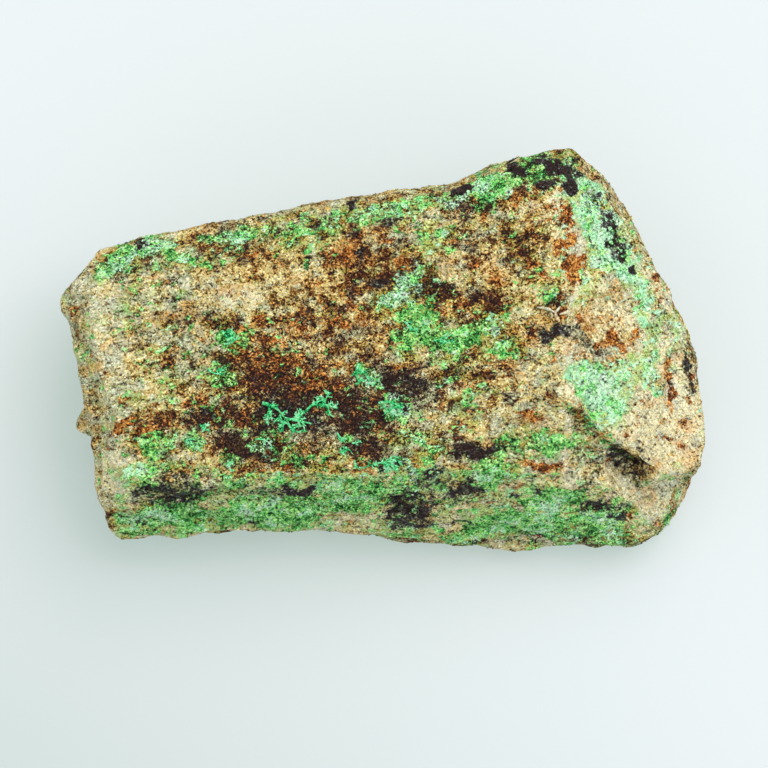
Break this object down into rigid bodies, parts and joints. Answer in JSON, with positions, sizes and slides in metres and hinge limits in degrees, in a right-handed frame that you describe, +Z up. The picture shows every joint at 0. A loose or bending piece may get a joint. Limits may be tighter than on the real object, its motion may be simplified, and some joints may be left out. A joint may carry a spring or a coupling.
{
  "type": "malachite specimen",
  "caption": "Hand-sized broken block of copper ore with green malachite crusts on iron-stained rock, lying on a flat broken face.",
  "frame": {"origin": "centre of the stone's bounding box, on the surface that it lies on", "axes": "+Z up as the stone lies, +X along its length towards the broad pale end, +Y towards its straight back, -Y towards the green front slope"},
  "size_m": [0.104, 0.0654, 0.0425],
  "materials": {
    "malachite_ore": "matte"
  },
  "bodies": {
    "root": {"malachite_specimen": "malachite_ore"}
  },
  "joints": []
}
